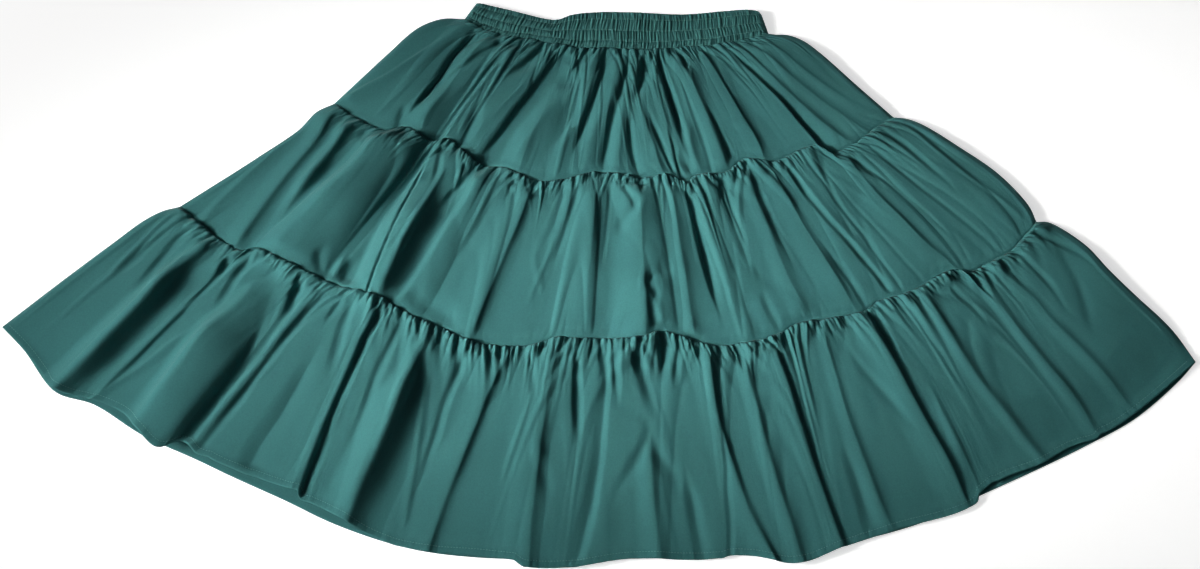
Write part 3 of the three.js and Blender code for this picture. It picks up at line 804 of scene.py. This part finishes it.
def free_height(tier):
    """Height of the cloth away from its seams, and how far its folds lean."""
    height, lean = fold_field(tier, tier.across, tier.down)
    height += crease_field(tier)
    long, short = (
        tall * cloud(tier.seed + seed, tier.across, tier.down, int(tier.bottom_width / size), rows)
        for seed, tall, size, rows in WAVES
    )
    waves = long * ease(tier.below / WAVE_START) + short
    return through(*tier.row["puff"], tier.down) + height + waves, lean


def gathered(tier):
    """The gathers under a seam, from small to large, and the swell that they make."""
    total = SWELL * (tier.below / SWELL_AT) * np.exp(1 - tier.below / SWELL_AT)
    start = ease((tier.below + 1.2) / 4.5)
    for number, row in enumerate(tier.row["gathers"]):
        gathers = from_top(tier, 10 * number, row, GATHER_TALL, GATHER_SINK)
        total = total + gathers * start
    return total


def sewn_foot(tier):
    """Puckers above a seam, and the roll of the cloth before it."""
    puckers = sunk_gathers(tier.seed + 90, tier.across, tier.rest, tier.bottom_width, FOOT_PUCKERS)
    return puckers + SEAM_ROLL * (bell(tier.rest - 4.5, 3) - 1.6 * bell(tier.rest, 1.8))


def tier_heights(tier, above):
    """Height of a tier's cloth, and how far its folds lean."""
    free, lean = free_height(tier)
    height = lerp(above(tier.across) - SEAM_DROP, free, ease(tier.below / GATHER_REACH))
    height = height + gathered(tier)
    if tier.hem:
        right = ease((tier.across - 0.55) * 4)
        height = height - HEM_LIES * right * ease(1 - tier.rest / HEM_LIES_REACH)
    else:
        height = lerp(seam_height(tier, tier.across), height, ease(tier.rest / SEAM_REACH))
        height = height + sewn_foot(tier)
    away = tier.inset * tier.width(tier.down)
    return rounded(settle(height), SIDE_EDGE, away, SIDE_ROUND), lean


def tier_places(tier, lean):
    """Where a tier's points lie, leaning with the folds and tucked in at the seams."""
    reach = np.interp(tier.across, *zip(*HEM_REACHES)) if tier.hem else 1
    xy, run = tier.points(tier.across, tier.down * reach)
    sideways = unit(np.gradient(xy, axis=1))
    grip = ease(tier.below / SEAM_REACH) * ease(tier.inset * 30)
    shift = -SEAM_TUCK * np.exp(-tier.below / TUCK_REACH)
    if not tier.hem:
        grip = grip * ease(tier.rest / SEAM_REACH)
        shift = shift + SEAM_COVER * np.exp(-tier.rest / TUCK_REACH)
    return xy + sideways * (lean * grip)[..., None] + run * shift[..., None]


def hem_fold(tier):
    """The doubled cloth of the hem, its puckers and the groove of its stitches."""
    puckers = gather_field(tier.seed + 95, tier.across, 0, tier.bottom_width, HEM_PUCKERS)
    doubled = ease((HEM_DEPTH + 0.6 - tier.rest) / 1.2)
    return doubled * (HEM_STEP + puckers) - HEM_GROOVE * bell(tier.rest - HEM_DEPTH, 1.1)


def puckered_seam(tier, start, *line):
    """A side seam that has rolled to the front: a groove between puckers."""
    start = start / 100
    share = np.clip((tier.down - start) / (1 - start), 0, 1)
    aside = np.abs(tier.across - through(*line, share) / 100) * tier.width(tier.down)
    length = (1 - start) * tier.length
    puckers = gather_field(tier.seed + 70, share, aside, length, SIDE_SEAM_PUCKERS, 0.9)
    groove = 0.5 * fade_out(aside, 11) + SIDE_SEAM_GROOVE * bell(aside, 1.7)
    return (puckers - groove) * ease(share * 8)


def sewn_edges(tier):
    """The sharp pleats under a gathered edge, and the lip or hem at the other edge."""
    pleats = from_top(tier, 60, tier.row["pleats"])
    relief = pleats * ease((tier.below + 0.5) / 3) - SEAM_GROOVE * bell(tier.below, 1.3)
    if tier.hem:
        relief = relief + hem_fold(tier)
    else:
        relief = relief + LIP * bell(tier.rest - 3.2, 2.2) - SEAM_GROOVE * bell(tier.rest, 1.0)
    if "side_seam" in tier.row:
        relief = relief + puckered_seam(tier, *tier.row["side_seam"])
    return relief * ease(tier.inset * 40)


def settled(tier, sheet):
    """A tier's sheet, settled between seams and sides, with its sewn edges."""
    free = np.ones_like(tier.across)
    free[0] = 0
    free[:, :3] = 0
    free[:, -3:] = 0
    if not tier.hem:
        free[-1] = 0
    uneven = cloud(tier.seed + 9, tier.across, tier.down, int(tier.bottom_width / 40), 3)
    slack = BODY_SLACK + GATHER_SLACK * np.exp(-tier.below / GATHER_SLACK_REACH)
    points = relax(sheet, free, slack * (1 + 0.6 * uneven) * ease(tier.inset * 14))
    points[..., 2] = np.maximum(points[..., 2] + sewn_edges(tier), LOWEST_SEAM)
    return points


def front_tier(tier, above):
    """A tier's shell, and the stitches of its hem. `above` gives the height of its seam."""
    z, lean = tier_heights(tier, above)
    sheet = settled(tier, np.dstack([tier_places(tier, lean), z]))
    cloth = cloth_uv(tier.across, tier.down, *tier.row["cut"])
    seam = cloth_uv(tier.across, tier.down, tier.top_width * MM, tier.length * MM)
    piece = shell(tier.row["part"] + "_front_cloth", sheet, cloth=cloth, seam=seam)
    if not tier.hem:
        return piece, []
    row = 1 - HEM_DEPTH / tier.length
    return piece, [stitches("hem_stitches", sheet, tier.down[:, 0], [row], HEM_STITCH)]


# ---- Waistband ----

STITCH_ROWS = (0.23, 0.53, 0.81)  # between the four elastic channels
STITCH_PITCH = 2.6
BAND_GRID = (720, 36)
BAND_PUFF = (6.5, 8, 7)
BAND_CUT = (0.44, 0.04)
BAND_EDGE = 2.6  # height of the upper edge, and the reach of its turn
BAND_ROUND = 3.5
CHANNEL_ROLL = 0.9  # how far a channel's elastic stands out
RIBS = (3.0, 1, 1)  # pitch, height and reach in a channel, and of those across all four
COMMON_RIBS = (3.3, 1, 1)
BAND_COVER = 0.9  # how far the band reaches over the upper tier


def band_ribs(plan, across, share, channel):
    """The shirring of each channel, slanting to and fro."""
    ribs = 0
    for number in range(len(STITCH_ROWS) + 1):
        slant = (share - 0.5) * 0.004 * (1 if number % 2 else -1)
        places = np.clip(across + slant, 0, 1)
        field = gather_field(500 + number, places, 0, plan.top_width, RIBS, 0.8)
        ribs = ribs + field * (channel == number)
    return ribs


def front_band():
    """The waistband's shell and its three rows of stitches."""
    plan = Plan("waistband", "waist_top", "waist_bottom")
    columns, rows = BAND_GRID
    across, down = np.meshgrid(np.linspace(0, 1, columns + 1), np.linspace(0, 1, rows + 1))
    edges = np.array([0, *STITCH_ROWS, 1])
    channel = np.clip(np.searchsorted(edges, down, side="right") - 1, 0, len(STITCH_ROWS))
    share = (down - edges[channel]) / (edges[channel + 1] - edges[channel])
    roll = np.sin(math.pi * share) ** 0.7
    ribs = band_ribs(plan, across, share, channel)
    common = gather_field(520, across, 0, plan.top_width, COMMON_RIBS, 0.9)
    relief = CHANNEL_ROLL * roll + (0.5 + 0.8 * roll) * ribs * 0.8 + 0.5 * common
    z = through(*BAND_PUFF, down) + relief + 1.2 * cloud(530, across, down, 14, 1)
    away = np.minimum(across, 1 - across) * plan.width(down)
    z = rounded(settle(z), SIDE_EDGE, away, SIDE_ROUND)
    z = rounded(z, BAND_EDGE, down * plan.length, BAND_ROUND)
    xy, run = plan.points(across, down)
    xy = xy + run * (BAND_COVER * np.exp(-(1 - down) * plan.length / 3))[..., None]
    sheet = np.dstack([xy, z])
    piece = shell("waistband_front_cloth", sheet, cloth=cloth_uv(across, down, *BAND_CUT))
    return piece, stitches("waistband_stitches", sheet, down[:, 0], STITCH_ROWS, STITCH_PITCH)


def band_foot(across):
    return np.full_like(across, BAND_PUFF[2])


# ---- Back panels ----

BACK_GRID = (260, 40)
BACK_HEIGHT = 1.3
BACK_LIMITS = (0.9, 2.2)
BACK_WAVES = 0.5
BACK_GATHERS = (12, 0.5, 40)  # pitch, height and reach
BACK_FULLNESS = 1.2  # width of the flat cloth, in widths of its foot


def back_panel(number, part, top, bottom):
    """A back panel, which lies almost flat under the front."""
    plan = Plan(part, top, bottom)
    across, down = grid(*BACK_GRID, plan.length)
    below = down * plan.length
    waves = cloud(700 + number, across, down, int(plan.bottom_width / 40), 3)
    z = BACK_HEIGHT + BACK_WAVES * waves
    z = z + gather_field(710 + number, across, below, plan.top_width, BACK_GATHERS)
    xy, _ = plan.points(across, down)
    flat = cloth_uv(across, down, plan.bottom_width * MM * BACK_FULLNESS, plan.length * MM)
    return shell(part + "_back_cloth", np.dstack([xy, np.clip(z, *BACK_LIMITS)]), cloth=flat)


# ---- Materials ----

TEAL = (0.050, 0.200, 0.200)
TEAL_SHADE = (0.043, 0.176, 0.176)
BAND_TEAL = (0.052, 0.2, 0.193)
BAND_SHADE = (0.045, 0.176, 0.17)
# Thread colour, and the painted shade of the bands of its twist.
THREAD_TEAL = (0.1, 0.31, 0.3)
THREAD_PAINTED_SHADE = (0.06, 0.2, 0.195)
PLEAT_WIDTH = 0.0062  # metres, as in all materials
PLEAT_LENGTH = 0.022
PLEAT_START = 0.003
PLEAT_FADE = 0.024
PLEAT_DEPTH = 0.0022
CRINKLES = (34, 16, 1)  # to a metre
CRINKLE_DEPTH = 0.0009
WEAVE_DEPTH = 0.00025


def new_material(name):
    material = bpy.data.materials.new(name)
    material.use_nodes = True
    nodes = material.node_tree.nodes
    return material, nodes, nodes["Principled BSDF"]


def set_inputs(node, values):
    for socket, value in values.items():
        node.inputs[socket].default_value = value


def add_node(nodes, kind, values=None, **settings):
    """A shader node with its settings and the values of its sockets."""
    node = nodes.new("ShaderNode" + kind)
    for setting, value in settings.items():
        setattr(node, setting, value)
    set_inputs(node, values or {})
    return node


def join(source, output, target, socket):
    source.id_data.links.new(source.outputs[output], target.inputs[socket])


def gathered_relief(nodes):
    """The smallest pleats: narrow cells that fade out below a gathered seam."""
    place = add_node(nodes, "UVMap", uv_map="seam")
    cells = add_node(nodes, "Mapping", {"Scale": (1 / PLEAT_WIDTH, 1 / PLEAT_LENGTH, 1)})
    pleats = add_node(nodes, "TexVoronoi", {"Scale": 1}, voronoi_dimensions="2D")
    parts = add_node(nodes, "SeparateXYZ")
    span = {"From Min": PLEAT_START, "From Max": PLEAT_FADE, "To Min": 1, "To Max": 0}
    fade = add_node(nodes, "MapRange", span, interpolation_type="SMOOTHSTEP")
    depth = add_node(nodes, "Math", operation="MULTIPLY")
    bump = add_node(nodes, "Bump", {"Strength": 1, "Distance": PLEAT_DEPTH}, invert=True)
    join(place, "UV", cells, "Vector")
    join(cells, "Vector", pleats, "Vector")
    join(place, "UV", parts, "Vector")
    join(parts, "Y", fade, "Value")
    join(pleats, "Distance", depth, 0)
    join(fade, "Result", depth, 1)
    join(depth, "Value", bump, "Height")
    return bump


def cotton_colour(nodes, colour, shade):
    """Faintly mottled colour, with the fine grain of uneven yarn."""
    body = add_node(nodes, "TexCoord")
    mottle = add_node(nodes, "TexNoise", {"Scale": 9, "Detail": 5})
    slub = add_node(nodes, "TexNoise", {"Scale": 640, "Detail": 2})
    spread = add_node(nodes, "MapRange", {"From Min": 0.3, "From Max": 0.7})
    base = add_node(nodes, "Mix", {"A": (*shade, 1), "B": (*colour, 1)}, data_type="RGBA")
    grain = add_node(nodes, "Mix", {"Factor": 0.32}, data_type="RGBA", blend_type="MULTIPLY")
    join(body, "Object", mottle, "Vector")
    join(body, "Object", slub, "Vector")
    join(mottle, "Fac", spread, "Value")
    join(spread, "Result", base, "Factor")
    join(base, "Result", grain, "A")
    join(slub, "Fac", grain, "B")
    return grain


def woven_relief(nodes):
    """Crossing threads over soft crinkles, over the smallest pleats."""
    place = add_node(nodes, "UVMap", uv_map="cloth")
    weave = add_node(nodes, "Math", operation="MULTIPLY")
    for i, direction in enumerate(("X", "Y")):
        threads = add_node(nodes, "TexWave", {"Scale": 950, "Distortion": 1.2, "Detail": 1})
        threads.bands_direction = direction
        join(place, "UV", threads, "Vector")
        join(threads, "Fac", weave, i)
    stretch = add_node(nodes, "Mapping", {"Scale": CRINKLES})
    crinkle = add_node(nodes, "TexNoise", {"Scale": 1, "Detail": 3})
    waves = add_node(nodes, "Bump", {"Strength": 1, "Distance": CRINKLE_DEPTH})
    relief = add_node(nodes, "Bump", {"Strength": 0.3, "Distance": WEAVE_DEPTH})
    join(place, "UV", stretch, "Vector")
    join(stretch, "Vector", crinkle, "Vector")
    join(crinkle, "Fac", waves, "Height")
    join(gathered_relief(nodes), "Normal", waves, "Normal")
    join(weave, "Value", relief, "Height")
    join(waves, "Normal", relief, "Normal")
    return relief


def cotton(name, colour, shade):
    """Plain woven cotton: crossing threads, faint mottling and a soft sheen."""
    material, nodes, shader = new_material(name)
    set_inputs(shader, {"Roughness": 0.9, "Specular IOR Level": 0.15, "Sheen Weight": 0.08})
    set_inputs(shader, {"Sheen Roughness": 0.45, "Sheen Tint": (0.8, 0.85, 0.85, 1)})
    join(cotton_colour(nodes, colour, shade), "Result", shader, "Base Color")
    join(woven_relief(nodes), "Normal", shader, "Normal")
    return material


def sewing_thread(name, colour, shade):
    """Twisted polyester thread: fine slanted bands of light and shade, painted into its colour and
    also raised as bumps.
    """
    material, nodes, shader = new_material(name)
    set_inputs(shader, {"Roughness": 0.6})
    body = add_node(nodes, "TexCoord")
    twist = add_node(nodes, "TexWave", {"Scale": 900, "Distortion": 2}, bands_direction="DIAGONAL")
    # Painted shade and light: the twist's bands darken and lighten the thread's colour, as the
    # strands' own shading would.
    tint = add_node(nodes, "Mix", {"A": (*shade, 1), "B": (*colour, 1)}, data_type="RGBA")
    bump = add_node(nodes, "Bump", {"Strength": 0.4, "Distance": 0.0001})
    join(body, "Object", twist, "Vector")
    join(twist, "Fac", tint, "Factor")
    join(tint, "Result", shader, "Base Color")
    join(twist, "Fac", bump, "Height")
    join(bump, "Normal", shader, "Normal")
    return material


# ---- Build ----


def dress(piece, material):
    piece.data.materials.append(material)
    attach(piece, BODY)


shown, sewing = {}, {}
shown["waistband_front"], band_stitches = front_band()
sewing["waistband_front"] = [band_stitches]
above = band_foot
for row in TIERS:
    node, tier = row["part"] + "_front", Tier(row)
    shown[node], sewing[node] = front_tier(tier, above)
    above = partial(seam_height, tier)
for number, (part, top, bottom) in enumerate(BACKS):
    shown[part + "_back"] = back_panel(number, part, top, bottom)

cloth_material = cotton("teal_cotton", TEAL, TEAL_SHADE)
band_material = cotton("teal_cotton_shirred", BAND_TEAL, BAND_SHADE)
thread_material = sewing_thread("teal_thread", THREAD_TEAL, THREAD_PAINTED_SHADE)
for node, piece in shown.items():
    band = node.startswith("waistband")
    dress(piece, band_material if band else cloth_material)
    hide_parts(node)
    for threads in sewing.get(node, []):
        dress(threads, thread_material)

CUTS = {row["part"]: row["cut"] for row in TIERS} | {"waistband": BAND_CUT}
for part, cut in CUTS.items():
    threads = sewing[part + "_front"]

# ---- Floor, light and camera ----

FLOOR_SIZE = 40  # metres, as all else here
FLOOR_GLOW = 0.62
ROOM_LIGHT = 0.05
WARM = (1.0, 0.99, 0.97)
LIGHTS = (  # name, place, aim, size, power and spread
    ("window", (-3.7, -0.4, 1.9), (0, 0, 0), 2.6, 94, 180),
    ("lamp", (-1.5, -0.2, 0.85), (0.07, -0.02, 0), 0.5, 1.66, 25),
)
TILT = math.radians(18)
DISTANCE = 1.9
VIEW_WIDTH = 1.26
SENSOR = 36
LOOK = Vector((-ORIGIN[0] * MM, -ORIGIN[1] * MM, 0.009))

bpy.ops.mesh.primitive_plane_add(size=FLOOR_SIZE, location=(0, 0, 0))
floor = bpy.context.object
floor.name = "floor"
paper, _, shader = new_material("pale_floor")
set_inputs(shader, {"Base Color": (0.86, 0.86, 0.86, 1), "Roughness": 0.9})
set_inputs(shader, {"Emission Color": (1, 1, 1, 1), "Emission Strength": FLOOR_GLOW})
floor.data.materials.append(paper)

world = bpy.data.worlds.new("soft_room")
world.use_nodes = True
background = world.node_tree.nodes["Background"]
set_inputs(background, {"Color": (0.93, 0.97, 1.0, 1), "Strength": ROOM_LIGHT})
bpy.context.scene.world = world


def area_light(name, place, target, size, power, spread):
    light = bpy.data.lights.new(name, "AREA")
    light.shape = "DISK"
    light.size = size
    light.spread = math.radians(spread)
    light.energy = power
    light.color = WARM
    lamp = bpy.data.objects.new(name, light)
    lamp.location = place
    aim = Vector(target) - Vector(place)
    lamp.rotation_euler = aim.to_track_quat("-Z", "Y").to_euler()
    bpy.context.scene.collection.objects.link(lamp)


for light in LIGHTS:
    area_light(*light)

camera_data = bpy.data.cameras.new("camera")
camera_data.sensor_width = SENSOR
camera_data.lens = SENSOR * DISTANCE / VIEW_WIDTH
camera = bpy.data.objects.new("camera", camera_data)
camera.location = LOOK + DISTANCE * Vector((0, -math.sin(TILT), math.cos(TILT)))
camera.rotation_euler = (TILT, 0, 0)
bpy.context.scene.collection.objects.link(camera)
bpy.context.scene.camera = camera
bpy.context.scene.view_settings.view_transform = "Standard"
